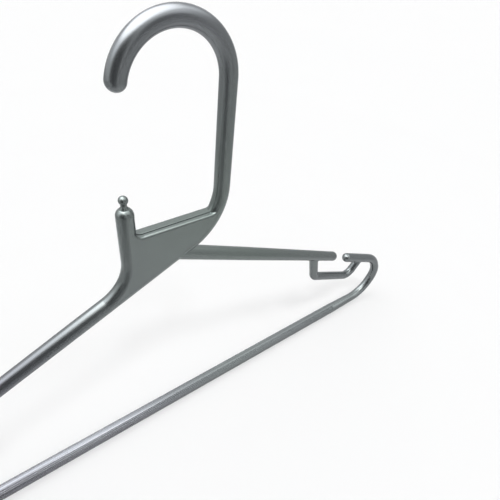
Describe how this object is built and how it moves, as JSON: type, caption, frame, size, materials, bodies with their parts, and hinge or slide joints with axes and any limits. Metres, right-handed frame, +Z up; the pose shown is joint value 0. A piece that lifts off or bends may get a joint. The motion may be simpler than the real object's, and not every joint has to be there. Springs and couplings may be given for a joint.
{
  "type": "trouser hanger",
  "caption": "Moulded clothes hanger with sloping arms, strap loops, a grooved trouser bar, an open hook and a seat between the hook's stem and a ball-tipped post.",
  "frame": {"origin": "middle of the bounding box's bottom face, under the middle of the trouser bar's flat underside", "axes": "+X along the trouser bar towards the side of the hook's stem, +Y out of the hanger's flat face, +Z up towards the hook"},
  "size_m": [0.4098, 0.0084, 0.2463],
  "materials": {
    "moulding": "satin metallic"
  },
  "bodies": {
    "root": {"hook": "moulding", "centre_plate": "moulding", "seat_rib": "moulding", "marker_post": "moulding", "marker_ball": "moulding", "trouser_bar": "moulding", "right_arm": "moulding", "left_arm": "moulding", "right_strap_loop": "moulding", "left_strap_loop": "moulding", "right_shoulder": "moulding", "left_shoulder": "moulding", "right_bar_end": "moulding", "left_bar_end": "moulding"}
  },
  "joints": []
}
